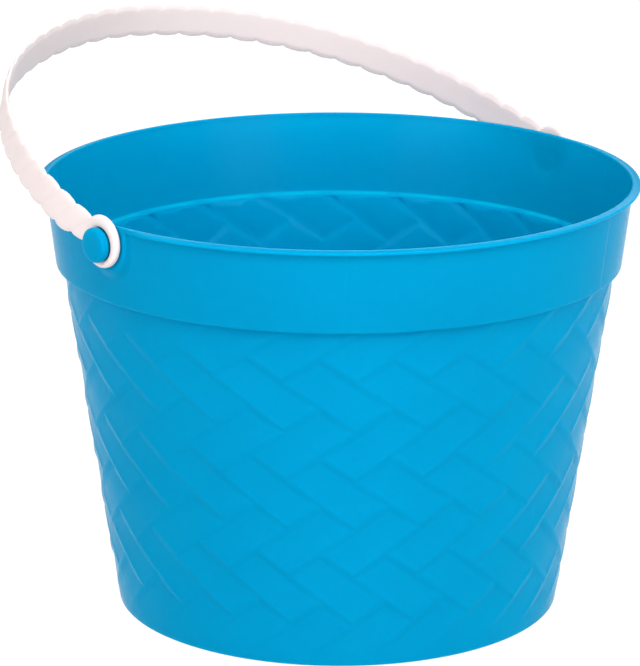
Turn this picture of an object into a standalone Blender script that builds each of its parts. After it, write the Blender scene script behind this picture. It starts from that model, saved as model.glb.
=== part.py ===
"""Sand bucket: a blue moulded shell, two hinge studs and a white strap handle.

Metres, +Z up. The origin is the centre of the base, on the surface the bucket stands on.
The studs lie along X. The handle is laid over towards +Y, where it stays by friction.
"""
import math

import bmesh
import bpy

# ---- driving dimensions -------------------------------------------------------------------
RIM_RADIUS = 0.1180          # outer edge of the lip
RIM_HEIGHT = 0.1733          # top of the lip, at its inner edge
LIP_DROOP = 0.0006           # the lip falls this far towards its outer edge
LIP_EDGE = 0.0011            # thickness of the lip's outer edge
BASE_RADIUS = 0.0886         # woven wall, carried down to the ground
WALL_DRAFT = 0.1462          # radius gained per metre of height on the woven wall
BAND_RADIUS = 0.1110         # plain band above the woven wall, at its lower edge
BAND_DRAFT = 0.1226          # radius gained per metre of height on the band
BAND_BOTTOM = 0.1398         # height of the band's lower edge
LEDGE_TOP = 0.1404           # inside, the sloping ledge behind the band's lower edge
LEDGE_FOOT = 0.1388
WALL = 0.0013                # thickness of wall, band and pads
FLOOR = 0.0018               # thickness of the floor

HINGE_HEIGHT = 0.1650        # height of the stud axis
PAD_FACE = 0.1165            # distance of each pad's flat face from the bucket's axis
PAD_ROOT = 0.1080            # where a pad's flanks start, inside the wall
PAD_FACE_RADIUS = 0.0112
PAD_ROOT_WIDTH = 0.0140      # half width of a pad at its root
PAD_ROOT_DROP = 0.0200       # how far a pad reaches below the stud axis at its root

GAP = 0.0003                 # clearance between pieces that touch
STRAP_WIDTH = 0.0157
STRAP_THICKNESS = 0.0026
EYE_THICKNESS = 0.0030
EYE_RADIUS = 0.0102
EYE_BORE = 0.0061
ARCH_HEIGHT = 0.1529         # top of the handle's arch above the stud axis
ARM_SPLAY = 0.0205           # radians that each arm leans outwards from its eye
ARM_STIFFNESS = 0.1196       # length of the arch curve's tangent at an eye
TOP_STIFFNESS = 0.0417       # length of the arch curve's tangent at the top
HANDLE_LEAN = math.radians(71.8)

STUD_CAP_RADIUS = 0.0067
STUD_CAP = 0.0033            # thickness of the cap, outside the eye
STUD_SHANK_RADIUS = 0.0056
STUD_EDGE = 0.0014           # rounding of the cap's edge

ROUND_STEPS = 72             # facets round the bucket
SMALL_STEPS = 40             # facets round eyes and studs

BLUE = (0.002, 0.350, 0.655, 1.0)
WHITE = (0.890, 0.820, 0.850, 1.0)

# ---- scene helpers ------------------------------------------------------------------------


def clear_scene():
    for old in list(bpy.data.objects):
        bpy.data.objects.remove(old, do_unlink=True)


def new_collection(name):
    collection = bpy.data.collections.new(name)
    bpy.context.scene.collection.children.link(collection)
    return collection


def plastic(name, colour, roughness):
    material = bpy.data.materials.new(name)
    material.use_nodes = True
    shader = material.node_tree.nodes["Principled BSDF"]
    shader.inputs["Base Color"].default_value = colour
    shader.inputs["Roughness"].default_value = roughness
    shader.inputs["Metallic"].default_value = 0.0
    return material


def add_object(name, data, collection, material=None):
    obj = bpy.data.objects.new(name, data)
    collection.objects.link(obj)
    if material:
        data.materials.append(material)
    return obj


def mark_as_cutter(obj):
    obj.hide_render = True
    obj.display_type = 'WIRE'
    return obj


def boolean(obj, operation, other):
    modifier = obj.modifiers.new(operation.lower() + "_" + other.name, 'BOOLEAN')
    modifier.operation = operation
    modifier.object = other
    modifier.solver = 'EXACT'


# ---- outlines -----------------------------------------------------------------------------


def rounded(corners, segments=3):
    """Outline through (radius, height, rounding) corners, each corner turned into an arc."""
    points = []
    last = len(corners) - 1
    for index, (x, z, rounding) in enumerate(corners):
        if rounding == 0 or index in (0, last):
            points.append((x, z))
            continue
        before = corners[index - 1]
        after = corners[index + 1]
        to_before = (before[0] - x, before[1] - z)
        to_after = (after[0] - x, after[1] - z)
        length_before = math.hypot(*to_before)
        length_after = math.hypot(*to_after)
        unit_before = (to_before[0] / length_before, to_before[1] / length_before)
        unit_after = (to_after[0] / length_after, to_after[1] / length_after)
        cosine = unit_before[0] * unit_after[0] + unit_before[1] * unit_after[1]
        half_angle = math.acos(max(-1.0, min(1.0, cosine))) / 2
        setback = rounding / math.tan(half_angle)
        start = (x + unit_before[0] * setback, z + unit_before[1] * setback)
        end = (x + unit_after[0] * setback, z + unit_after[1] * setback)
        reach = rounding / math.sin(half_angle)
        middle = (unit_before[0] + unit_after[0], unit_before[1] + unit_after[1])
        middle_length = math.hypot(*middle)
        centre = (x + middle[0] / middle_length * reach, z + middle[1] / middle_length * reach)
        first_angle = math.atan2(start[1] - centre[1], start[0] - centre[0])
        last_angle = math.atan2(end[1] - centre[1], end[0] - centre[0])
        sweep = (last_angle - first_angle + math.pi) % (2 * math.pi) - math.pi
        for step in range(segments + 1):
            angle = first_angle + sweep * step / segments
            points.append((centre[0] + rounding * math.cos(angle),
                           centre[1] + rounding * math.sin(angle)))
    return points


def turned(name, outline, steps, collection, material=None):
    """Solid of revolution about Z. The outline starts and ends on the axis."""
    mesh = bpy.data.meshes.new(name)
    mesh.from_pydata([(x, 0.0, z) for x, z in outline],
                     [(i, i + 1) for i in range(len(outline) - 1)], [])
    obj = add_object(name, mesh, collection, material)
    screw = obj.modifiers.new("turn", 'SCREW')
    screw.axis = 'Z'
    screw.angle = 2 * math.pi
    screw.steps = steps
    screw.render_steps = steps
    screw.use_merge_vertices = True
    screw.merge_threshold = 0.00001
    screw.use_smooth_shade = True
    return obj


def wall_radius(height):
    return BASE_RADIUS + WALL_DRAFT * height


def band_radius(height):
    return BAND_RADIUS + BAND_DRAFT * (height - BAND_BOTTOM)


# ---- bucket shell -------------------------------------------------------------------------


def outer_form_outline():
    lip_top = RIM_HEIGHT - LIP_DROOP
    lip_under = lip_top - LIP_EDGE
    return rounded([
        (0.0, RIM_HEIGHT, 0),
        (band_radius(RIM_HEIGHT) - WALL, RIM_HEIGHT, 0),
        (RIM_RADIUS, lip_top, 0.0004),
        (RIM_RADIUS, lip_under, 0.0004),
        (band_radius(lip_under), lip_under, 0.0012),
        (BAND_RADIUS, BAND_BOTTOM, 0.0009),
        (wall_radius(BAND_BOTTOM), BAND_BOTTOM, 0.0003),
        (wall_radius(0.0), 0.0, 0.0025),
        (0.0, 0.0, 0),
    ])


def cavity_outline():
    above = RIM_HEIGHT + 0.010
    return rounded([
        (0.0, above, 0),
        (band_radius(RIM_HEIGHT) - WALL, above, 0),
        (band_radius(RIM_HEIGHT) - WALL, RIM_HEIGHT, 0),
        (band_radius(LEDGE_TOP) - WALL, LEDGE_TOP, 0.0012),
        (wall_radius(LEDGE_FOOT) - WALL, LEDGE_FOOT, 0.0008),
        (wall_radius(FLOOR) - WALL, FLOOR, 0.0020),
        (0.0, FLOOR, 0),
    ])


def pad_form(name, side, inset, top, collection):
    """Tapered boss along X, round at its face, broad at its root and cut off at top.

    inset shrinks the form on every side, which makes the hollow behind the pad.
    """
    depth = PAD_FACE - inset - PAD_ROOT
    bm = bmesh.new()
    bmesh.ops.create_cone(bm, cap_ends=True, segments=SMALL_STEPS, radius1=1.0, radius2=0.5,
                          depth=depth)
    for vert in bm.verts:
        outward = vert.co.z + depth / 2
        share = outward / depth
        around = math.atan2(vert.co.y, vert.co.x)
        width = PAD_ROOT_WIDTH * (1 - share) + PAD_FACE_RADIUS * share - inset
        drop = PAD_ROOT_DROP * (1 - share) + PAD_FACE_RADIUS * share - inset
        vert.co = (side * (PAD_ROOT + outward),
                   side * width * math.cos(around),
                   HINGE_HEIGHT + drop * math.sin(around))
    cut = bmesh.ops.bisect_plane(bm, geom=bm.verts[:] + bm.edges[:] + bm.faces[:],
                                 plane_co=(0, 0, top), plane_no=(0, 0, 1), clear_outer=True)
    rim = [item for item in cut["geom_cut"] if isinstance(item, bmesh.types.BMEdge)]
    bmesh.ops.edgeloop_fill(bm, edges=rim)
    bmesh.ops.recalc_face_normals(bm, faces=bm.faces[:])
    mesh = bpy.data.meshes.new(name)
    bm.to_mesh(mesh)
    bm.free()
    return mark_as_cutter(add_object(name, mesh, collection))


def lip_flat(name, side, collection):
    """Block that trims the lip flat in front of a pad, so that the handle can pass."""
    bm = bmesh.new()
    bmesh.ops.create_cube(bm, size=2.0)
    depth = 0.004
    reach = 0.030
    for vert in bm.verts:
        vert.co = (side * (PAD_FACE + depth + depth * vert.co.x),
                   side * reach * vert.co.y,
                   HINGE_HEIGHT + reach * vert.co.z)
    mesh = bpy.data.meshes.new(name)
    bm.to_mesh(mesh)
    bm.free()
    return mark_as_cutter(add_object(name, mesh, collection))


def stud_hole(name, side, collection):
    bm = bmesh.new()
    bmesh.ops.create_cone(bm, cap_ends=True, segments=SMALL_STEPS, depth=0.012,
                          radius1=STUD_SHANK_RADIUS + GAP, radius2=STUD_SHANK_RADIUS + GAP)
    mesh = bpy.data.meshes.new(name)
    bm.to_mesh(mesh)
    bm.free()
    obj = mark_as_cutter(add_object(name, mesh, collection))
    obj.location = (side * PAD_FACE, 0.0, HINGE_HEIGHT)
    obj.rotation_euler = (0.0, math.pi / 2, 0.0)
    return obj


def build_shell(parts, cutters):
    material = plastic("blue_plastic_shell", BLUE, 0.32)
    shell = turned("bucket_shell", outer_form_outline(), ROUND_STEPS, parts, material)
    lip_under = RIM_HEIGHT - LIP_DROOP - LIP_EDGE
    pad_top = RIM_HEIGHT - LIP_DROOP - GAP
    sides = (("left", -1), ("right", 1))
    for label, side in sides:
        boolean(shell, 'DIFFERENCE', lip_flat("lip_flat_" + label, side, cutters))
        boolean(shell, 'UNION', pad_form("pad_" + label, side, 0.0, pad_top, cutters))
    cavity = mark_as_cutter(turned("cavity", cavity_outline(), ROUND_STEPS, cutters))
    boolean(shell, 'DIFFERENCE', cavity)
    for label, side in sides:
        boolean(shell, 'DIFFERENCE',
                pad_form("pad_hollow_" + label, side, WALL, lip_under - GAP, cutters))
        boolean(shell, 'DIFFERENCE', stud_hole("stud_hole_" + label, side, cutters))
    return shell


# ---- hinge studs --------------------------------------------------------------------------


def stud_outline():
    """Measured outwards from the pad's face: the cap is outside the eye, and the shank's end is
    flush with the back of the pad."""
    cap_foot = GAP + EYE_THICKNESS + GAP
    cap_face = cap_foot + STUD_CAP
    return rounded([
        (0.0, cap_face, 0),
        (STUD_CAP_RADIUS, cap_face, STUD_EDGE),
        (STUD_CAP_RADIUS, cap_foot, 0),
        (STUD_SHANK_RADIUS, cap_foot, 0),
        (STUD_SHANK_RADIUS, -WALL, 0),
        (0.0, -WALL, 0),
    ], segments=4)


def build_studs(parts):
    material = plastic("blue_plastic_stud", BLUE, 0.30)
    for label, side in (("left", -1), ("right", 1)):
        stud = turned("hinge_stud_" + label, stud_outline(), SMALL_STEPS, parts, material)
        stud.location = (side * PAD_FACE, 0.0, HINGE_HEIGHT)
        stud.rotation_euler = (0.0, side * math.pi / 2, 0.0)


# ---- handle -------------------------------------------------------------------------------


def arch_curve(eye_middle):
    """The strap's middle line: a Bezier arch from eye to eye, in the curve's XY plane."""
    curve = bpy.data.curves.new("arch", 'CURVE')
    curve.dimensions = '2D'
    curve.fill_mode = 'NONE'
    curve.resolution_u = 24
    curve.extrude = STRAP_WIDTH / 2
    spline = curve.splines.new('BEZIER')
    spline.bezier_points.add(2)
    shoulder_x = eye_middle + ARM_STIFFNESS * math.sin(ARM_SPLAY)
    shoulder_y = ARM_STIFFNESS * math.cos(ARM_SPLAY)
    knots = [
        ((-eye_middle, 0), (-eye_middle, -0.01), (-shoulder_x, shoulder_y)),
        ((0, ARCH_HEIGHT), (-TOP_STIFFNESS, ARCH_HEIGHT), (TOP_STIFFNESS, ARCH_HEIGHT)),
        ((eye_middle, 0), (shoulder_x, shoulder_y), (eye_middle, -0.01)),
    ]
    for point, (place, arriving, leaving) in zip(spline.bezier_points, knots):
        point.handle_left_type = 'FREE'
        point.handle_right_type = 'FREE'
        point.co = (*place, 0)
        point.handle_left = (*arriving, 0)
        point.handle_right = (*leaving, 0)
    return curve


def disc(name, radius, depth, centre_x, collection):
    bm = bmesh.new()
    bmesh.ops.create_cone(bm, cap_ends=True, segments=SMALL_STEPS, radius1=radius,
                          radius2=radius, depth=depth)
    mesh = bpy.data.meshes.new(name)
    bm.to_mesh(mesh)
    bm.free()
    obj = mark_as_cutter(add_object(name, mesh, collection))
    obj.location = (centre_x, 0.0, 0.0)
    obj.rotation_euler = (0.0, math.pi / 2, 0.0)
    return obj


def build_handle(parts, cutters):
    eye_middle = PAD_FACE + GAP + EYE_THICKNESS / 2
    guide = add_object("arch_guide", arch_curve(eye_middle), cutters)
    guide.rotation_euler = (math.pi / 2, 0.0, 0.0)
    bpy.context.view_layer.update()
    ribbon = bpy.data.meshes.new_from_object(guide.evaluated_get(
        bpy.context.evaluated_depsgraph_get()))
    ribbon.transform(guide.matrix_world)
    ribbon.name = "handle"
    bpy.data.objects.remove(guide, do_unlink=True)
    handle = add_object("handle", ribbon, parts, plastic("white_plastic", WHITE, 0.38))
    solidify = handle.modifiers.new("strap_thickness", 'SOLIDIFY')
    solidify.thickness = STRAP_THICKNESS
    solidify.offset = 0.0
    hinge = bpy.data.objects.new("handle_hinge", None)
    parts.objects.link(hinge)
    hinge.location = (0.0, 0.0, HINGE_HEIGHT)
    hinge.rotation_euler = (-HANDLE_LEAN, 0.0, 0.0)
    handle.parent = hinge
    sides = (("left", -1), ("right", 1))
    for label, side in sides:
        eye = disc("eye_" + label, EYE_RADIUS, EYE_THICKNESS, side * eye_middle, cutters)
        eye.parent = hinge
        boolean(handle, 'UNION', eye)
    for label, side in sides:
        bore = disc("eye_bore_" + label, EYE_BORE, 0.012, side * eye_middle, cutters)
        bore.parent = hinge
        boolean(handle, 'DIFFERENCE', bore)
    return handle


def main():
    clear_scene()
    parts = new_collection("sand_bucket")
    cutters = new_collection("sand_bucket_cutters")
    build_shell(parts, cutters)
    build_studs(parts)
    build_handle(parts, cutters)


main()
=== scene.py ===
"""The sand bucket's looks: woven-relief shell, rounded hinge studs and rope-pattern strap handle."""
import math

import bmesh
import bpy
import numpy as np
from mathutils import Matrix, Vector


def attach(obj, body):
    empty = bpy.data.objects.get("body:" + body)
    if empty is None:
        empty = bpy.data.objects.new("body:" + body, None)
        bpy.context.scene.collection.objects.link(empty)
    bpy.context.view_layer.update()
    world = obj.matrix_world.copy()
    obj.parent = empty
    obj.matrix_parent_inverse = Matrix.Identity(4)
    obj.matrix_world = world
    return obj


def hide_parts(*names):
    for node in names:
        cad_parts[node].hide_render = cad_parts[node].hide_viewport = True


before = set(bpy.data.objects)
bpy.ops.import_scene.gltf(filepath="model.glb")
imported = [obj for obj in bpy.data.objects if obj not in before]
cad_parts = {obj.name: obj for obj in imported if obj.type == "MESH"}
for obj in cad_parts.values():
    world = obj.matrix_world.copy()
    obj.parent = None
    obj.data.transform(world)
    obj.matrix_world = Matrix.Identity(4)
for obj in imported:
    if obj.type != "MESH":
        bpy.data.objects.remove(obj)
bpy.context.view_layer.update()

# ---- driving dimensions, in metres and radians ---------------------------------------------
RIM_RADIUS = 0.1190          # outer edge of the lip
RIM_HEIGHT = 0.1729          # top of the lip, at its inner edge
LIP_DROOP = 0.0006
LIP_EDGE = 0.0011
BASE_RADIUS = 0.0886         # woven wall, carried down to the ground
WALL_DRAFT = 0.1500          # radius gained per metre of height on the woven wall
BAND_RADIUS = 0.1122         # plain band above the woven wall, at its lower edge
BAND_DRAFT = 0.1226
BAND_BOTTOM = 0.1398
LEDGE_TOP = 0.1404           # inside, the sloping ledge behind the band's lower edge
LEDGE_FOOT = 0.1388
INNER_BAND_RADIUS = 0.1098   # inside surface of the band, at the ledge
INNER_RIM_RADIUS = 0.1156    # and where it would meet the top of the lip
LIP_CROWN = 0.0011           # the lip is highest this far out from its inner edge
WALL = 0.0013
FLOOR = 0.0018
FOOT_HOLLOW = 0.0008         # the underside is hollowed by this much inside its foot ring
FOOT_RING_FOOT = 0.0775      # radii of the foot ring's inner side, where it stands
FOOT_RING_ROOT = 0.0760      # and where it meets the underside

HINGE_HEIGHT = 0.1650        # height of the stud axis
PAD_FACE = 0.1165            # distance of each pad's flat face from the bucket's axis
PAD_ROOT = 0.1080
PAD_FACE_RADIUS = 0.0112
PAD_ROOT_WIDTH = 0.0140
PAD_ROOT_DROP = 0.0180
HOLLOW_RISE = 0.0056         # inside, the hollow behind a pad ends this far above the axis
HOLLOW_BLEND = 0.0035
HOLLOW_INSET = 0.0040        # how far the hollow's floor lies behind the pad's face
PAD_BLEND = 0.0018           # softness of the hollow line where a pad meets the band

# faint vertical parting lines on the band: their places round the bucket, and their size
SEAMS = tuple(math.radians(place) for place in (52.5, 112.8, 230.5, 292.8))
SEAM_HALF = 0.0028
SEAM_DEPTH = 0.00009

GAP = 0.0003                 # room left on each side of an eye, and under the lip
EYE_THICKNESS = 0.0030
EYE_HALF = EYE_THICKNESS / 2
EYE_RADIUS = 0.0102
EYE_BORE = 0.0063
EYE_OFFSET = 0.0010          # the eye's outer edge sits this much above its bore, at rest
STRAP_WIDTH = 0.0157
STRAP_THICKNESS = 0.0026
ARCH_HEIGHT = 0.1529         # top of the handle's arch above the stud axis
ARM_SPLAY = 0.0205           # angle at which the arms leave the eyes, outward from upright
ARM_STIFFNESS = 0.1196       # reach of the arch curve's handles, at the arms
TOP_STIFFNESS = 0.0417       # and at the top
HANDLE_LEAN = math.radians(71.8)

STUD_CAP_RADIUS = 0.0067
STUD_CAP = 0.0033
STUD_CAP_DISH = 0.0002       # how far the middle of the cap's face lies back
STUD_CAP_DROOP = 0.0004      # and how far its edge does
STUD_SHANK_RADIUS = 0.0056
STUD_ROOT = WALL * 0.6       # how deep the shank is sunk in the pad

# ---- the woven pattern: floats two cells long, lying along two diagonals --------------------
HALF_STEPS = 48              # half cells round the bucket
HALF_RISE = 0.01011          # height of half a cell
WEAVE_FOOT = -0.0232         # height at which the pattern would start, below the ground
WEAVE_LOW = 0.0042           # the relief starts here, above the base's rounded edge
WEAVE_FULL = 0.0110          # and has its full depth from here up
RELIEF = 0.00100             # from a float's proud lower edge to the far corner of its top edge
EDGE_SWELL = 0.40            # share of the relief in the swelling along a float's lower edges
SWELL_WIDTH = 0.10           # how far the swelling reaches, in cells
TILT_ACROSS = 0.34           # share of the relief lost from a float's lower side to its upper side
TILT_ALONG = 0.24
STEP_HALF = 0.12             # half the width of the step between two floats, in cells
STEP_SHAPE = 1.4             # 1 for a straight slope, more for a rounded one
STEP_LEVEL = 0.5             # height of the middle of every step
CELL_SNAP = 0.004            # border vertices this near a cut, in half cells, are moved onto it
# where the mesh divides a cell: closest at the steps, and finer outside than inside
SPLITS_OUTSIDE = (0.0, 0.04, 0.08, 0.12, 0.17, 0.24, 0.36, 0.55, 0.74, 0.88, 0.92, 0.96)
SPLITS_INSIDE = (0.0, 0.06, 0.12, 0.24, 0.50, 0.88, 0.94)

# ---- mesh sizes -----------------------------------------------------------------------------
CORNER_SEGMENTS = 4          # segments in each rounded corner of an outline
OUTER_ROW = 0.0016           # longest stretch between rows of the band, outside
INNER_ROW = 0.0012           # and inside
PAD_COLUMN = math.radians(0.4)    # spacing of the band's columns near a pad
BAND_COLUMN = math.radians(1.5)   # and elsewhere
PAD_REACH = math.radians(12)      # how far round from a pad's middle the fine columns go
BASE_COLUMNS = 144
STUD_COLUMNS = 64
EYE_COLUMNS = 96
STRAP_RINGS = 640
STRAP_FACE_POINTS = 15
ARCH_SAMPLES = 800
SHARP_ANGLE = math.radians(48)
MERGE_DISTANCE = 0.000002
FAN_RADIUS = 0.0040          # inner ring of the floor and of the underside
SEARCH_STEPS = 40            # halvings of the search for a pad's surface
SEARCH_LOW = 0.100
SEARCH_HIGH = 0.135

TURN = 2 * math.pi


def smoothstep(x):
    """Soft rise from 0 to 1 as x goes from 0 to 1."""
    x = np.clip(x, 0.0, 1.0)
    return x * x * (3 - 2 * x)


def smooth_max(a, b, softness):
    """The larger of two surfaces, with a soft hollow line where they cross."""
    near = np.maximum(softness - np.abs(a - b), 0.0) / softness
    return np.maximum(a, b) + near * near * softness / 4


def wall_radius(height):
    """Mean radius of the woven wall's outside."""
    return BASE_RADIUS + WALL_DRAFT * height


def band_radius(height):
    """Radius of the plain band's outside."""
    return BAND_RADIUS + BAND_DRAFT * (height - BAND_BOTTOM)


def rounded(corners):
    """Outline through (radius, height, rounding) corners, each corner turned into an arc."""
    points = []
    last = len(corners) - 1
    for index, (x, z, rounding) in enumerate(corners):
        if rounding == 0 or index in (0, last):
            points.append((x, z))
            continue
        corner = Vector((x, z))
        before = (Vector(corners[index - 1][:2]) - corner).normalized()
        after = (Vector(corners[index + 1][:2]) - corner).normalized()
        half_angle = before.angle(after) / 2
        start = corner + before * (rounding / math.tan(half_angle))
        centre = corner + (before + after).normalized() * (rounding / math.sin(half_angle))
        arm = start - centre
        sweep = math.pi - 2 * half_angle
        side = 1 if before.x * after.y - before.y * after.x < 0 else -1
        for step in range(CORNER_SEGMENTS + 1):
            angle = side * sweep * step / CORNER_SEGMENTS
            points.append((centre.x + arm.x * math.cos(angle) - arm.y * math.sin(angle),
                           centre.y + arm.x * math.sin(angle) + arm.y * math.cos(angle)))
    return points


def with_rows(outline, longest):
    """Adds points to an outline's long stretches, so that no stretch is over the given length."""
    points = [outline[0]]
    for (x0, z0), (x1, z1) in zip(outline, outline[1:]):
        count = max(1, math.ceil(math.hypot(x1 - x0, z1 - z0) / longest))
        for step in range(1, count + 1):
            share = step / count
            points.append((x0 + (x1 - x0) * share, z0 + (z1 - z0) * share))
    return points


# ---- a closed surface made of rings, joined one to the next ---------------------------------
class Surface:
    """Collects vertices and faces for one mesh."""

    def __init__(self):
        self.verts = []
        self.faces = []

    def add(self, points):
        """Adds vertices and returns their indices."""
        first = len(self.verts)
        self.verts.extend(map(tuple, points))
        return list(range(first, len(self.verts)))

    def strip(self, ring_a, ring_b):
        """Quads between two rings with the same number of vertices."""
        count = len(ring_a)
        for k in range(count):
            n = (k + 1) % count
            self.faces.append((ring_a[k], ring_a[n], ring_b[n], ring_b[k]))

    def zip(self, ring_a, ring_b):
        """Triangles between two rings whose vertices differ in number; both run the same way."""
        angle_a = self.angles(ring_a)
        angle_b = self.angles(ring_b)
        a = b = 0
        while a < len(ring_a) or b < len(ring_b):
            next_a = angle_a[a + 1] if a < len(ring_a) else math.inf
            next_b = angle_b[b + 1] if b < len(ring_b) else math.inf
            here_a = ring_a[a % len(ring_a)]
            here_b = ring_b[b % len(ring_b)]
            if next_a <= next_b:
                a += 1
                self.faces.append((here_a, ring_a[a % len(ring_a)], here_b))
            else:
                b += 1
                self.faces.append((here_a, ring_b[b % len(ring_b)], here_b))

    def angles(self, ring):
        """Angles of a sorted ring's vertices, ending with the first one after a whole turn."""
        found = [math.atan2(self.verts[v][1], self.verts[v][0]) % TURN for v in ring]
        return found + [found[0] + TURN]

    def sorted_ring(self, ring):
        """The ring's vertices in order round the bucket's axis."""
        return sorted(ring, key=lambda v: math.atan2(self.verts[v][1], self.verts[v][0]) % TURN)

    def fan(self, ring, centre):
        """Triangles from a ring to a new vertex at its centre."""
        middle = self.add([centre])[0]
        count = len(ring)
        for k in range(count):
            self.faces.append((ring[k], ring[(k + 1) % count], middle))

    def to_object(self, name, material):
        """Makes a linked object of the surface, with its normals outward."""
        mesh = bpy.data.meshes.new(name)
        mesh.from_pydata(self.verts, [], self.faces)
        mesh.materials.append(material)
        bm = bmesh.new()
        bm.from_mesh(mesh)
        bmesh.ops.remove_doubles(bm, verts=bm.verts[:], dist=MERGE_DISTANCE)
        bmesh.ops.recalc_face_normals(bm, faces=bm.faces[:])
        bm.to_mesh(mesh)
        bm.free()
        mesh.shade_smooth()
        mesh.set_sharp_from_angle(angle=SHARP_ANGLE)
        obj = bpy.data.objects.new(name, mesh)
        bpy.context.scene.collection.objects.link(obj)
        return obj


# ---- bucket shell ---------------------------------------------------------------------------
def float_height(i, j):
    """Height, from 0 to 1, of the woven relief at cell coordinates i and j.

    Rows of cells repeat every four: two rows hold floats that lie along j, two rows floats that
    lie along i. Each float's two lower edges stand proud, and its upper edges tuck in under the
    floats above.
    """
    cell_i = np.floor(i + 1e-6)
    cell_j = np.floor(j + 1e-6)
    part_i = i - cell_i
    part_j = j - cell_j
    row = np.mod(cell_i + cell_j, 4)
    along_j = row < 2
    second = np.mod(row, 2)
    across = np.where(along_j, part_i, part_j)
    along = np.where(along_j, part_j, part_i) + second
    to_lower = np.minimum(across, along)
    to_upper = np.minimum(1 - across, 2 - along)
    swell = 1 - np.exp(-np.maximum(to_lower - STEP_HALF, 0) / SWELL_WIDTH)
    body = 1 - EDGE_SWELL * swell - TILT_ACROSS * across - TILT_ALONG * along / 2
    leaving = 1 - (1 - np.clip(to_lower / STEP_HALF, 0, 1)) ** STEP_SHAPE
    arriving = 1 - (1 - np.clip(to_upper / STEP_HALF, 0, 1)) ** STEP_SHAPE
    return STEP_LEVEL + (body - STEP_LEVEL) * leaving * arriving


def weave_wall(surface, bottom, top, inset, splits):
    """The woven wall between two heights. Returns its lower and upper border rings.

    The mesh runs along the weave's own diagonals, so that each float has clean edges.
    """
    low = (bottom - WEAVE_FOOT) / HALF_RISE
    high = (top - WEAVE_FOOT) / HALF_RISE
    count = len(splits)
    bm = bmesh.new()
    grid = {}

    def corner(a, b):
        """Mesh corner a, b, placed by half cells across and up."""
        if (a, b) not in grid:
            i = a // count + splits[a % count]
            j = b // count + splits[b % count]
            grid[a, b] = bm.verts.new((i - j, i + j, 0.0))
        return grid[a, b]

    for level in range(math.floor(low) - 1, math.ceil(high) + 1):
        for place in range(HALF_STEPS // 2):
            cell_i = place + level // 2 + level % 2
            cell_j = level - cell_i
            for a in range(cell_i * count, (cell_i + 1) * count):
                for b in range(cell_j * count, (cell_j + 1) * count):
                    bm.faces.new((corner(a, b), corner(a + 1, b),
                                  corner(a + 1, b + 1), corner(a, b + 1)))
    for height, outward in ((low, -1), (high, 1)):
        for vert in bm.verts:
            if abs(vert.co.y - height) < CELL_SNAP:
                vert.co.y = height
        bmesh.ops.bisect_plane(bm, geom=bm.verts[:] + bm.edges[:] + bm.faces[:],
                               dist=CELL_SNAP / 2, plane_co=(0, height, 0),
                               plane_no=(0, outward, 0), clear_outer=True)
    bm.verts.index_update()
    flat = np.array([vert.co[:2] for vert in bm.verts])
    across_bucket, up_bucket = flat[:, 0], flat[:, 1]
    height = WEAVE_FOOT + HALF_RISE * up_bucket
    relief = float_height((across_bucket + up_bucket) / 2, (up_bucket - across_bucket) / 2)
    depth = RELIEF * smoothstep((height - WEAVE_LOW) / (WEAVE_FULL - WEAVE_LOW))
    radius = wall_radius(height) - inset + depth * (relief - 0.5)
    angle = (across_bucket + 1) * TURN / HALF_STEPS
    places = np.stack([radius * np.cos(angle), radius * np.sin(angle), height], 1)

    merged = {}
    index = []
    for point in places:
        key = tuple(np.round(point, 6))
        if key not in merged:
            merged[key] = surface.add([point])[0]
        index.append(merged[key])
    for face in bm.faces:
        loop = [index[vert.index] for vert in face.verts]
        if len(set(loop)) == len(loop):
            surface.faces.append(tuple(loop))
    borders = []
    for level in (low, high):
        ring = {index[k] for k in np.nonzero(np.abs(up_bucket - level) < 1e-5)[0]}
        borders.append(surface.sorted_ring(ring))
    bm.free()
    return borders


def pad_radius(angle, height, inset):
    """Distance from the bucket's axis of a pad's surface, inset towards the inside."""
    across = np.abs(np.sin(angle))
    outward = np.maximum(np.abs(np.cos(angle)), 1e-6)
    below = HINGE_HEIGHT - height
    if below < 0:
        below = -below * (inset > 0) * PAD_ROOT_DROP / HOLLOW_RISE
    depth = PAD_FACE - inset - PAD_ROOT
    inner = np.full(np.broadcast(across, below).shape, SEARCH_LOW)
    outer = np.full_like(inner, SEARCH_HIGH)
    for _ in range(SEARCH_STEPS):
        middle = (inner + outer) / 2
        share = np.clip((middle * outward - PAD_ROOT) / depth, -1.0, 1.0)
        width = PAD_ROOT_WIDTH * (1 - share) + PAD_FACE_RADIUS * share - inset
        drop = PAD_ROOT_DROP * (1 - share) + PAD_FACE_RADIUS * share - inset
        outside = (middle * across / width) ** 2 + (below / drop) ** 2 > 1
        outside |= middle * outward > PAD_FACE - inset
        outer = np.where(outside, middle, outer)
        inner = np.where(outside, inner, middle)
    return (inner + outer) / 2


def column_angles():
    """Angles of the band's columns: close together at the pads, wider between them."""
    wide_columns = round((math.pi / 2 - PAD_REACH) / BAND_COLUMN)
    half = np.concatenate([np.arange(0, PAD_REACH, PAD_COLUMN),
                           np.linspace(PAD_REACH, math.pi / 2, wide_columns)])
    quarter = half[:-1]
    plain = np.concatenate([quarter, math.pi - half[::-1][:-1], math.pi + quarter,
                            TURN - half[::-1][:-1]])
    seams = [seam + side * SEAM_HALF for seam in SEAMS for side in (-1, 0, 1)]
    return np.sort(np.concatenate([plain, seams]))


def band_ring(surface, angles, radius, height):
    """One ring of the band: radius is a number or one value for each angle."""
    whole = np.full_like(angles, radius)
    return surface.add(np.stack(
        [whole * np.cos(angles), whole * np.sin(angles), np.full_like(angles, height)], 1))


def turned_rings(surface, outline):
    """Plain rings about the bucket's axis, joined one to the next."""
    turns = np.arange(BASE_COLUMNS) * TURN / BASE_COLUMNS
    made = [surface.add([(radius * math.cos(t), radius * math.sin(t), height) for t in turns])
            for radius, height in outline]
    for ring_a, ring_b in zip(made, made[1:]):
        surface.strip(ring_a, ring_b)
    return made


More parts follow.
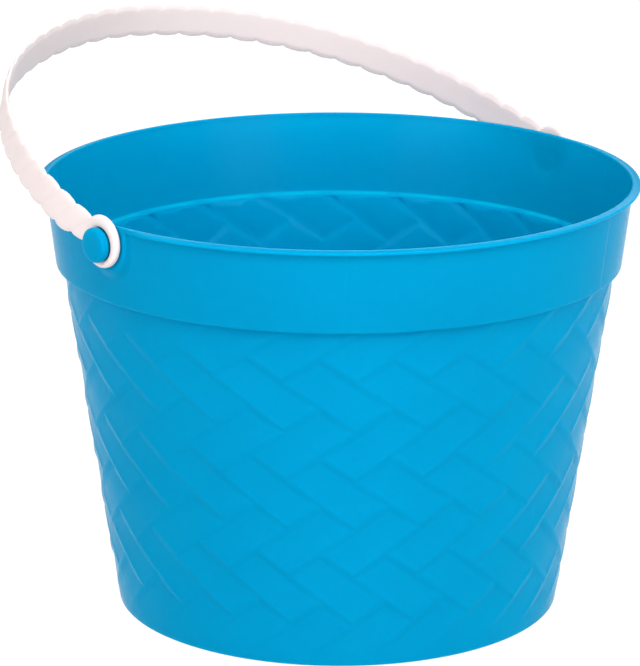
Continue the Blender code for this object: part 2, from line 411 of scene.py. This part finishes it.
def build_shell(material):
    """The whole moulding as one closed skin: woven wall, band, lip, floor and foot ring."""
    surface = Surface()
    weave_top_outside = BAND_BOTTOM - 0.0003
    weave_top_inside = LEDGE_FOOT - 0.0006
    outside_low, outside_high = weave_wall(
        surface, WEAVE_LOW, weave_top_outside, 0.0, SPLITS_OUTSIDE)
    inside_low, inside_high = weave_wall(
        surface, WEAVE_LOW, weave_top_inside, WALL, SPLITS_INSIDE)

    angles = column_angles()
    lip_top = RIM_HEIGHT - LIP_DROOP
    lip_under = lip_top - LIP_EDGE
    hollow_top = lip_under - GAP
    crown = INNER_RIM_RADIUS + LIP_CROWN
    ledge_end = LEDGE_FOOT - 0.0004
    pads_from = BAND_BOTTOM + 0.0002
    pads_within = RIM_RADIUS - 0.0006
    outer = with_rows(rounded([
        (wall_radius(BAND_BOTTOM), BAND_BOTTOM, 0),
        (BAND_RADIUS, BAND_BOTTOM, 0.0008),
        (band_radius(lip_under), lip_under, 0.0012),
        (RIM_RADIUS, lip_under, 0.0004),
        (RIM_RADIUS, lip_top, 0.0005),
        (crown, RIM_HEIGHT, 0),
    ]), OUTER_ROW)
    inner = with_rows(rounded([
        (crown, RIM_HEIGHT, 0),
        (INNER_RIM_RADIUS, RIM_HEIGHT, 0.0009),
        (INNER_BAND_RADIUS, LEDGE_TOP, 0.0010),
        (wall_radius(LEDGE_FOOT) - WALL, LEDGE_FOOT, 0.0005),
        (wall_radius(ledge_end) - WALL, ledge_end, 0),
    ]), INNER_ROW)[1:]

    rings = []
    for radius, height in outer:
        whole = np.full_like(angles, radius)
        if pads_from < height < lip_top and radius < pads_within:
            whole = smooth_max(whole, pad_radius(angles, height, 0.0), PAD_BLEND)
            for seam in SEAMS:
                whole = whole - SEAM_DEPTH * (np.abs(angles - seam) < SEAM_HALF / 2)
        whole = np.minimum(whole, PAD_FACE / np.maximum(np.abs(np.cos(angles)), 1e-6))
        rings.append(band_ring(surface, angles, whole, height))
    for radius, height in inner:
        whole = np.full_like(angles, radius)
        if LEDGE_TOP < height < hollow_top:
            whole = smooth_max(whole, pad_radius(angles, height, HOLLOW_INSET), HOLLOW_BLEND)
        rings.append(band_ring(surface, angles, whole, height))
    for ring_a, ring_b in zip(rings, rings[1:]):
        surface.strip(ring_a, ring_b)
    surface.zip(outside_high, rings[0])
    surface.zip(rings[-1], inside_high)

    under_end = WEAVE_LOW - 0.0003
    below = turned_rings(surface, rounded([
        (FAN_RADIUS, FOOT_HOLLOW, 0),
        (FOOT_RING_ROOT, FOOT_HOLLOW, 0.0004),
        (FOOT_RING_FOOT, 0.0, 0.0004),
        (wall_radius(0.0), 0.0, 0.0010),
        (wall_radius(under_end), under_end, 0),
    ]))
    surface.fan(below[0], (0.0, 0.0, FOOT_HOLLOW))
    surface.zip(below[-1], outside_low)
    floor_start = WEAVE_LOW - 0.0002
    floor_rings = turned_rings(surface, rounded([
        (wall_radius(floor_start) - WALL, floor_start, 0),
        (wall_radius(FLOOR) - WALL, FLOOR, 0.0020),
        (FAN_RADIUS, FLOOR, 0),
    ]))
    surface.fan(floor_rings[-1], (0.0, 0.0, FLOOR))
    surface.zip(inside_low, floor_rings[0])
    return surface.to_object("bucket_shell_moulding", material)


# ---- hinge studs ----------------------------------------------------------------------------
def build_stud(side, label, material):
    """Turned stud along X: a cap with a soft edge and a shallow dish, on a plain shank."""
    cap_foot = GAP + EYE_THICKNESS + GAP
    cap_face = cap_foot + STUD_CAP
    outline = rounded([
        (0.0002, cap_face - STUD_CAP_DISH, 0),
        (STUD_CAP_RADIUS * 0.50, cap_face, 0.0060),
        (STUD_CAP_RADIUS, cap_face - STUD_CAP_DROOP, 0.0013),
        (STUD_CAP_RADIUS, cap_foot, 0.0003),
        (STUD_SHANK_RADIUS, cap_foot, 0.0003),
        (STUD_SHANK_RADIUS, -STUD_ROOT, 0),
    ])
    surface = Surface()
    rings = []
    for radius, outward in outline:
        rings.append(surface.add([
            (side * (PAD_FACE + outward),
             radius * math.cos(k * TURN / STUD_COLUMNS),
             HINGE_HEIGHT + radius * math.sin(k * TURN / STUD_COLUMNS))
            for k in range(STUD_COLUMNS)]))
    for ring_a, ring_b in zip(rings, rings[1:]):
        surface.strip(ring_a, ring_b)
    surface.fan(rings[0], (side * (PAD_FACE + cap_face - STUD_CAP_DISH), 0.0, HINGE_HEIGHT))
    surface.fan(rings[-1], (side * (PAD_FACE - STUD_ROOT), 0.0, HINGE_HEIGHT))
    return surface.to_object("stud_" + label, material)


# ---- handle ---------------------------------------------------------------------------------
FIRST_CREASE = 0.0080        # where the first crease leaves the strap's upper edge
LOBE_PITCH = 0.01155         # the rope pattern's lobes repeat at this distance
CREASE_SLANT = 0.0108        # how far a crease runs along the strap while it crosses it
LOBE_DEPTH = 0.0015          # depth of the notches in the strap's edges
CREASE_DEPTH = 0.0007        # depth of the creases across the strap's outer face
END_TAPER = 0.0040           # the strap's lower side narrows this much towards each eye
END_TAPER_LENGTH = 0.026
HANDLE_SKIN = 0.00048        # mesh size of the handle's single skin
EDGE_HEIGHT_OUT = 0.25       # share of the thickness left at the strap's edges, outer face
EDGE_HEIGHT_IN = 0.35        # and inner face
EDGE_POWER_OUT = 6           # how late the faces turn down towards the edges
EDGE_POWER_IN = 8
INNER_FACE_WIDTH = 0.985     # the inner face's width as a share of the outer one's
EYE_BORE_ROUNDING = 0.0012
EYE_EDGE_ROUNDING = 0.0013
PLUG_HALF = 0.004            # half the length of the plug that clears each eye's bore


def arch_points(count):
    """Points along the strap's middle line, evenly spaced, with the direction at each."""
    eye = PAD_FACE + GAP + EYE_HALF
    shoulder = (eye + ARM_STIFFNESS * math.sin(ARM_SPLAY), ARM_STIFFNESS * math.cos(ARM_SPLAY))
    share = np.linspace(0, 1, ARCH_SAMPLES)[:, None]
    start = np.array([-eye, 0.0])
    leave = np.array([-shoulder[0], shoulder[1]])
    arrive = np.array([-TOP_STIFFNESS, ARCH_HEIGHT])
    top = np.array([0.0, ARCH_HEIGHT])
    left = ((1 - share) ** 3 * start + 3 * (1 - share) ** 2 * share * leave
            + 3 * (1 - share) * share ** 2 * arrive + share ** 3 * top)
    right = left[::-1][1:] * (-1, 1)
    path = np.concatenate([left, right])
    travelled = np.concatenate([[0], np.cumsum(np.hypot(*np.diff(path, axis=0).T))])
    wanted = np.linspace(0, travelled[-1], count)
    places = np.stack([np.interp(wanted, travelled, path[:, k]) for k in (0, 1)], 1)
    ahead = np.gradient(places, axis=0)
    ahead /= np.hypot(*ahead.T)[:, None]
    return places, ahead, wanted


def strap_section(travel, to_end):
    """Cross-section of the strap a distance along it and from its nearer end.

    Gives a closed outline of (across, outward) points.
    """
    half = STRAP_WIDTH / 2
    across = np.linspace(-1, 1, STRAP_FACE_POINTS)

    def lobe(at):
        """Height of the rope's lobe, 0 in a crease and 1 on its crown."""
        phase = (travel - FIRST_CREASE - CREASE_SLANT * (at + 1) / 2) / LOBE_PITCH
        part = phase - math.floor(phase)
        return math.sqrt(max(0.0, 1 - (2 * part - 1) ** 2))

    upper = half - LOBE_DEPTH * (1 - lobe(-1))
    lower = half - LOBE_DEPTH * (1 - lobe(1)) - END_TAPER * float(
        smoothstep(1 - (to_end - END_TAPER) / END_TAPER_LENGTH))
    section = []
    for at in across:
        width = at * (upper if at < 0 else lower)
        shoulder = 1 - abs(at) ** EDGE_POWER_OUT
        rise = STRAP_THICKNESS / 2 - CREASE_DEPTH * (1 - lobe(at))
        section.append((width, rise * (EDGE_HEIGHT_OUT + (1 - EDGE_HEIGHT_OUT) * shoulder)))
    for at in across[::-1][::2]:
        width = at * (upper if at < 0 else lower)
        shoulder = 1 - abs(at) ** EDGE_POWER_IN
        drop = STRAP_THICKNESS / 2 * (EDGE_HEIGHT_IN + (1 - EDGE_HEIGHT_IN) * shoulder)
        section.append((width * INNER_FACE_WIDTH, -drop))
    return section


def build_strap(material):
    """The strap with its rope pattern, upright, with the hinge axis at the origin."""
    places, ahead, travelled = arch_points(STRAP_RINGS)
    surface = Surface()
    rings = []
    for place, direction, travel in zip(places, ahead, travelled):
        outward = np.array([-direction[1], direction[0]])
        ring = [(place[0] + outward[0] * rise, across, place[1] + outward[1] * rise)
                for across, rise in strap_section(travel, min(travel, travelled[-1] - travel))]
        rings.append(surface.add(ring))
    for ring_a, ring_b in zip(rings, rings[1:]):
        surface.strip(ring_a, ring_b)
    surface.fan(rings[0], (places[0][0], 0.0, places[0][1]))
    surface.fan(rings[-1], (places[-1][0], 0.0, places[-1][1]))
    return surface.to_object("handle_rope_strap", material)


def turned_about_x(name, middle, section, material):
    """Ring about the hinge axis, from a closed (radius, outward) section."""
    surface = Surface()
    loops = [surface.add([(middle + outward, radius * math.cos(k * TURN / EYE_COLUMNS),
                           radius * math.sin(k * TURN / EYE_COLUMNS))
                          for k in range(EYE_COLUMNS)])
             for radius, outward in section]
    for ring_a, ring_b in zip(loops, loops[1:] + loops[:1]):
        surface.strip(ring_a, ring_b)
    return surface.to_object(name, material)


def build_handle(material):
    """Strap and eyes as one moulding, upright about the hinge, then laid over."""
    handle = build_strap(material)
    eye_section = rounded([
        (EYE_BORE, 0.0, 0),
        (EYE_BORE, EYE_HALF, EYE_BORE_ROUNDING),
        (EYE_RADIUS, EYE_HALF, EYE_EDGE_ROUNDING),
        (EYE_RADIUS, -EYE_HALF, EYE_EDGE_ROUNDING),
        (EYE_BORE, -EYE_HALF, EYE_BORE_ROUNDING),
        (EYE_BORE, 0.0, 0),
    ])[:-1]
    middle = (EYE_BORE + EYE_RADIUS) / 2
    needle = 0.0001
    plug_section = [(needle, -PLUG_HALF), (middle, -PLUG_HALF),
                    (middle, PLUG_HALF), (needle, PLUG_HALF)]
    scraps = []
    upward = (EYE_OFFSET * math.sin(HANDLE_LEAN), EYE_OFFSET * math.cos(HANDLE_LEAN))
    for side in (-1, 1):
        centre = side * (PAD_FACE + GAP + EYE_HALF)
        plug = turned_about_x("bore_plug", centre, plug_section, material)
        eye = turned_about_x("eye_ring", centre, eye_section, material)
        for vert in eye.data.vertices:
            share = (math.hypot(vert.co.y, vert.co.z) - EYE_BORE) / (EYE_RADIUS - EYE_BORE)
            vert.co.y -= upward[0] * share
            vert.co.z += upward[1] * share
        for other, operation in ((plug, 'DIFFERENCE'), (eye, 'UNION')):
            modifier = handle.modifiers.new(operation.lower(), 'BOOLEAN')
            modifier.operation = operation
            modifier.object = other
            modifier.solver = 'EXACT'
            scraps.append(other)
    skin = handle.modifiers.new("one_skin", 'REMESH')
    skin.mode = 'VOXEL'
    skin.voxel_size = HANDLE_SKIN
    skin.use_smooth_shade = True
    soften = handle.modifiers.new("soften", 'SMOOTH')
    soften.factor = 0.5
    soften.iterations = 3
    evaluated = handle.evaluated_get(bpy.context.evaluated_depsgraph_get())
    mesh = bpy.data.meshes.new_from_object(evaluated)
    handle.modifiers.clear()
    handle.data = mesh
    for scrap in scraps:
        bpy.data.objects.remove(scrap, do_unlink=True)
    mesh.transform(Matrix.Translation((0, 0, HINGE_HEIGHT))
                   @ Matrix.Rotation(-HANDLE_LEAN, 4, 'X'))
    mesh.shade_smooth()
    return handle


# ---- materials ------------------------------------------------------------------------------
DRIFT_SCALE = 22.0           # noise scales, in cells to a metre: colour drift over the part
GLOSS_SCALE = 140.0          # uneven gloss
GRAIN_SCALE = 1500.0         # fine grain of the mould
SWELL_SCALE = 90.0           # slow unevenness of a moulded surface
GRAIN_SHARE = 0.12           # the grain's height as a share of the swell's
BUMP_HEIGHT = 0.0004
SCUFF_SCALE = 700.0          # scuffs are about a millimetre wide
SCUFF_STRETCH = 0.04         # and much longer, because nested buckets rub up and down
SCUFF_FROM = 0.60            # noise values where a scuff starts and where it is full
SCUFF_FULL = 0.72
SCUFF_ROUGHNESS = 0.12
SCATTER_TINT = (0.7, 1.0, 1.0)   # red light goes less far through the plastic


def plastic(name, colour, darker, roughness, spread, bump, subsurface, scatter, specular):
    """Moulded plastic: faint colour drift, uneven gloss, fine grain and long thin scuffs."""
    material = bpy.data.materials.new(name)
    material.use_nodes = True
    nodes = material.node_tree.nodes
    links = material.node_tree.links
    shader = nodes["Principled BSDF"]
    shader.inputs["Specular IOR Level"].default_value = specular
    shader.inputs["Subsurface Weight"].default_value = subsurface
    shader.inputs["Subsurface Radius"].default_value = SCATTER_TINT
    shader.inputs["Subsurface Scale"].default_value = scatter
    place = nodes.new("ShaderNodeTexCoord")

    def noise(scale, detail):
        """A noise texture on the piece's own coordinates."""
        node = nodes.new("ShaderNodeTexNoise")
        node.inputs["Scale"].default_value = scale
        node.inputs["Detail"].default_value = detail
        links.new(place.outputs["Object"], node.inputs["Vector"])
        return node

    drift = noise(DRIFT_SCALE, 3.0)
    ramp = nodes.new("ShaderNodeValToRGB")
    ramp.color_ramp.elements[0].position = 0.3
    ramp.color_ramp.elements[0].color = (*darker, 1)
    ramp.color_ramp.elements[1].position = 0.7
    ramp.color_ramp.elements[1].color = (*colour, 1)
    links.new(drift.outputs["Fac"], ramp.inputs["Fac"])
    links.new(ramp.outputs["Color"], shader.inputs["Base Color"])

    gloss = noise(GLOSS_SCALE, 4.0)
    spread_node = nodes.new("ShaderNodeMapRange")
    spread_node.inputs["To Min"].default_value = roughness - spread
    spread_node.inputs["To Max"].default_value = roughness + spread
    links.new(gloss.outputs["Fac"], spread_node.inputs["Value"])

    stretch = nodes.new("ShaderNodeMapping")
    stretch.inputs["Scale"].default_value = (1.0, 1.0, SCUFF_STRETCH)
    links.new(place.outputs["Object"], stretch.inputs["Vector"])
    streaks = noise(SCUFF_SCALE, 2.0)
    links.new(stretch.outputs["Vector"], streaks.inputs["Vector"])
    scuffs = nodes.new("ShaderNodeMapRange")
    scuffs.inputs["From Min"].default_value = SCUFF_FROM
    scuffs.inputs["From Max"].default_value = SCUFF_FULL
    scuffs.inputs["To Max"].default_value = SCUFF_ROUGHNESS
    links.new(streaks.outputs["Fac"], scuffs.inputs["Value"])
    worn = nodes.new("ShaderNodeMath")
    links.new(spread_node.outputs["Result"], worn.inputs[0])
    links.new(scuffs.outputs["Result"], worn.inputs[1])
    links.new(worn.outputs["Value"], shader.inputs["Roughness"])

    grain = noise(GRAIN_SCALE, 2.0)
    swell = noise(SWELL_SCALE, 2.0)
    total = nodes.new("ShaderNodeMath")
    total.operation = 'MULTIPLY_ADD'
    total.inputs[1].default_value = GRAIN_SHARE
    links.new(grain.outputs["Fac"], total.inputs[0])
    links.new(swell.outputs["Fac"], total.inputs[2])
    relief = nodes.new("ShaderNodeBump")
    relief.inputs["Strength"].default_value = bump
    relief.inputs["Distance"].default_value = BUMP_HEIGHT
    links.new(total.outputs["Value"], relief.inputs["Height"])
    links.new(relief.outputs["Normal"], shader.inputs["Normal"])
    return material


# ---- camera, floor and light ----------------------------------------------------------------
CAMERA_BEARING = 228.8       # where the camera stands round the bucket, in degrees
CAMERA_RISE = 16.896         # how far above the aim, in degrees
CAMERA_DISTANCE = 1.4637     # and how far from it
AIM_HEIGHT = 0.0826
CAMERA_HEADING = 0.3024      # the view's centre lies this many degrees beside the axis
CAMERA_PITCH = 15.9278
CAMERA_ROLL = 0.1681
CAMERA_LENS = 196.64         # millimetres, on a sensor 36 mm wide

FLOOR_SIZE = 9.0             # half the floor's side
FLOOR_SINK = 0.0002
FLOOR_SHADE = (0.11, 0.11, 0.11, 1)
FLOOR_GLOW = 0.94            # the floor's own light keeps it evenly pale

WORLD_STRENGTH = 0.35
LIGHT_DISTANCE = 2.2         # of each softbox from a point in the middle of the bucket
LIGHT_AIM = (0, 0, 0.1)
# name, degrees round from the camera, degrees up, size in metres, watts
SOFTBOXES = (
    ("top_softbox", 10, 56, (1.5, 1.5), 38),
    ("left_softbox", -40, 24, (1.2, 1.4), 28),
    ("right_softbox", 40, 24, (1.2, 1.4), 35),
    ("back_softbox", 180, 30, (1.8, 1.0), 18),
)


def direction_to(bearing, rise):
    """Unit vector towards a place given by its bearing and rise in degrees."""
    turn = math.radians(bearing)
    lift = math.radians(rise)
    return Vector((math.cos(turn) * math.cos(lift), math.sin(turn) * math.cos(lift),
                   math.sin(lift)))


def build_camera():
    """The main camera, a little above the rim and looking down."""
    data = bpy.data.cameras.new("camera")
    data.sensor_width = 36.0
    data.lens = CAMERA_LENS
    data.clip_end = 50.0
    camera = bpy.data.objects.new("camera", data)
    bpy.context.scene.collection.objects.link(camera)
    place = direction_to(CAMERA_BEARING, CAMERA_RISE) * CAMERA_DISTANCE
    place += Vector((0, 0, AIM_HEIGHT))
    heading = math.radians(CAMERA_BEARING + CAMERA_HEADING) - math.pi
    turn = (Matrix.Rotation(heading - math.pi / 2, 4, 'Z')
            @ Matrix.Rotation(math.radians(90 - CAMERA_PITCH), 4, 'X')
            @ Matrix.Rotation(math.radians(CAMERA_ROLL), 4, 'Z'))
    camera.matrix_world = Matrix.Translation(place) @ turn
    bpy.context.scene.camera = camera


def build_floor():
    """A plain pale floor under the bucket."""
    bm = bmesh.new()
    bmesh.ops.create_grid(bm, x_segments=1, y_segments=1, size=FLOOR_SIZE)
    mesh = bpy.data.meshes.new("floor")
    bm.to_mesh(mesh)
    bm.free()
    material = bpy.data.materials.new("pale_floor")
    material.use_nodes = True
    shader = material.node_tree.nodes["Principled BSDF"]
    shader.inputs["Base Color"].default_value = FLOOR_SHADE
    shader.inputs["Roughness"].default_value = 0.9
    shader.inputs["Specular IOR Level"].default_value = 0.1
    shader.inputs["Emission Color"].default_value = (1, 1, 1, 1)
    shader.inputs["Emission Strength"].default_value = FLOOR_GLOW
    mesh.materials.append(material)
    floor = bpy.data.objects.new("floor", mesh)
    floor.location.z = -FLOOR_SINK
    bpy.context.scene.collection.objects.link(floor)


def area_light(name, place, aim, size, power):
    """A rectangular softbox that faces a point."""
    data = bpy.data.lights.new(name, 'AREA')
    data.shape = 'RECTANGLE'
    data.size, data.size_y = size
    data.energy = power
    light = bpy.data.objects.new(name, data)
    light.location = place
    light.rotation_euler = (Vector(aim) - Vector(place)).to_track_quat('-Z', 'Y').to_euler()
    bpy.context.scene.collection.objects.link(light)


def build_light():
    """Soft white surroundings and four softboxes."""
    world = bpy.data.worlds.new("studio")
    bpy.context.scene.world = world
    world.use_nodes = True
    background = world.node_tree.nodes["Background"]
    background.inputs["Color"].default_value = (1, 1, 1, 1)
    background.inputs["Strength"].default_value = WORLD_STRENGTH
    for name, beside, rise, size, power in SOFTBOXES:
        place = direction_to(CAMERA_BEARING + beside, rise) * LIGHT_DISTANCE + Vector(LIGHT_AIM)
        area_light(name, place, LIGHT_AIM, size, power)
    bpy.context.scene.view_settings.view_transform = 'Standard'


# ---- assembly -------------------------------------------------------------------------------
build_camera()
build_floor()
build_light()

blue = plastic("blue_plastic", colour=(0.0, 0.222, 0.412), darker=(0.0, 0.211, 0.395),
               roughness=0.20, spread=0.04, bump=0.10,
               subsurface=0.7, scatter=0.0040, specular=0.010)
white = plastic("white_plastic", colour=(0.675, 0.590, 0.580), darker=(0.660, 0.575, 0.565),
                roughness=0.38, spread=0.05, bump=0.10,
                subsurface=0.4, scatter=0.0010, specular=0.15)

shell = build_shell(blue)
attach(shell, "bucket")
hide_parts("bucket_shell")

for stud_side, stud_label in ((-1, "left"), (1, "right")):
    stud = build_stud(stud_side, stud_label, blue)
    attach(stud, "bucket")
    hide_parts("hinge_stud_" + stud_label)

handle = build_handle(white)
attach(handle, "handle")
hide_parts("handle")
